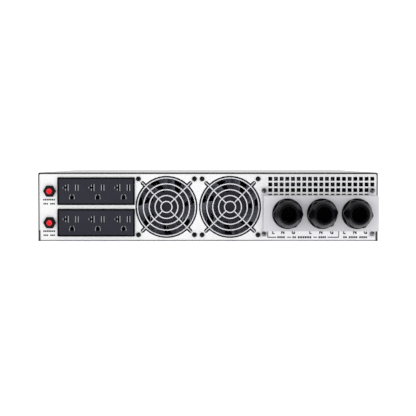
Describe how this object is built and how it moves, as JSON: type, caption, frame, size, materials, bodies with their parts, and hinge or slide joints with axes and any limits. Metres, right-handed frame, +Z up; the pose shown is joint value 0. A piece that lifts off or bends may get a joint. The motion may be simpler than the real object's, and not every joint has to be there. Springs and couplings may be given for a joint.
{
  "type": "rackmount uninterruptible power supply",
  "caption": "Rackmount uninterruptible power supply with rear outlets, reset buttons, fans and a cable gland box, and a slide-out battery drawer at the front.",
  "frame": {"origin": "middle of the case's flat underside", "axes": "+X to the right of someone facing the rear panel, +Y from the rear panel towards the front bezels, +Z up"},
  "size_m": [0.4826, 0.5871, 0.088],
  "materials": {
    "zinc_steel": "zinc-plated sheet",
    "cover_paint": "satin black powder coat",
    "panel_paint": "satin light grey powder coat",
    "black_plastic": "fine textured",
    "reset_red": "glossy",
    "outlet_plastic": "smooth",
    "guard_wire": "bright plated wire",
    "fan_plastic": "moulded",
    "black_screw": "black oxide",
    "nickel_screw": "nickel plated",
    "battery_case": "moulded",
    "capacitor_sleeve": "shrink sleeve",
    "gland_plastic": "moulded nylon",
    "seal_rubber": "matte",
    "board_green": "solder mask",
    "smoked_lens": "polished",
    "aluminium_sink": "extruded",
    "core_steel": "varnished laminations",
    "copper_coil": "varnished winding"
  },
  "bodies": {
    "case": {"base_tray": "zinc_steel", "front_frame": "zinc_steel", "bay_wall": "zinc_steel", "top_cover": "cover_paint", "rack_ear_left": "cover_paint", "rack_ear_right": "cover_paint", "rear_panel": "panel_paint", "wiring_box": "panel_paint", "breaker_body_1": "black_plastic", "breaker_nut_1": "black_plastic", "outlet_block_1": "outlet_plastic", "fan_guard_1": "guard_wire", "fan_frame_1": "fan_plastic", "fan_screw_1a": "black_screw", "fan_screw_1b": "black_screw", "fan_screw_1c": "black_screw", "fan_screw_1d": "black_screw", "capacitor_1": "capacitor_sleeve", "breaker_body_2": "black_plastic", "breaker_nut_2": "black_plastic", "outlet_block_2": "outlet_plastic", "fan_guard_2": "guard_wire", "fan_frame_2": "fan_plastic", "fan_screw_2a": "black_screw", "fan_screw_2b": "black_screw", "fan_screw_2c": "black_screw", "fan_screw_2d": "black_screw", "capacitor_2": "capacitor_sleeve", "box_screw_a": "nickel_screw", "box_screw_b": "nickel_screw", "box_screw_c": "nickel_screw", "box_screw_d": "nickel_screw", "terminal_strip": "black_plastic", "control_bezel": "black_plastic", "gland_body_1": "gland_plastic", "gland_cap_1": "gland_plastic", "gland_seal_1": "seal_rubber", "gland_body_2": "gland_plastic", "gland_cap_2": "gland_plastic", "gland_seal_2": "seal_rubber", "gland_body_3": "gland_plastic", "gland_cap_3": "gland_plastic", "gland_seal_3": "seal_rubber", "display_board": "board_green", "power_board": "board_green", "lcd_lens": "smoked_lens", "heat_sink": "aluminium_sink", "transformer_core": "core_steel", "transformer_coil": "copper_coil"},
    "upper_reset_button": {"reset_button_1": "reset_red"},
    "lower_reset_button": {"reset_button_2": "reset_red"},
    "left_fan_rotor": {"fan_rotor_1": "fan_plastic"},
    "right_fan_rotor": {"fan_rotor_2": "fan_plastic"},
    "power_key": {"power_key": "black_plastic"},
    "scroll_key": {"scroll_key": "black_plastic"},
    "enter_key": {"enter_key": "black_plastic"},
    "battery_drawer": {"drawer_front": "black_plastic", "battery_tray": "zinc_steel", "battery_string_1": "battery_case", "battery_string_2": "battery_case"}
  },
  "joints": [
    {"name": "upper_reset_button_travel", "type": "slide", "parent": "case", "child": "upper_reset_button", "axis": [0, -1, 0], "range_m": [0, 0.0035]},
    {"name": "lower_reset_button_travel", "type": "slide", "parent": "case", "child": "lower_reset_button", "axis": [0, -1, 0], "range_m": [0, 0.0035]},
    {"name": "left_fan_spin", "type": "hinge", "parent": "case", "child": "left_fan_rotor", "pos_m": [-0.0531, -0.22, 0.044], "axis": [0, 1, 0], "continuous": true},
    {"name": "right_fan_spin", "type": "hinge", "parent": "case", "child": "right_fan_rotor", "pos_m": [0.0282, -0.22, 0.044], "axis": [0, 1, 0], "continuous": true},
    {"name": "power_key_press", "type": "slide", "parent": "case", "child": "power_key", "axis": [0, -1, 0], "range_m": [0, 0.001], "stiffness_N_per_m": 500, "springref_m": -0.001},
    {"name": "scroll_key_press", "type": "slide", "parent": "case", "child": "scroll_key", "axis": [0, -1, 0], "range_m": [0, 0.001], "stiffness_N_per_m": 500, "springref_m": -0.001},
    {"name": "enter_key_press", "type": "slide", "parent": "case", "child": "enter_key", "axis": [0, -1, 0], "range_m": [0, 0.001], "stiffness_N_per_m": 500, "springref_m": -0.001},
    {"name": "battery_drawer_slide", "type": "slide", "parent": "case", "child": "battery_drawer", "axis": [0, 1, 0], "range_m": [0, 0.26]}
  ]
}
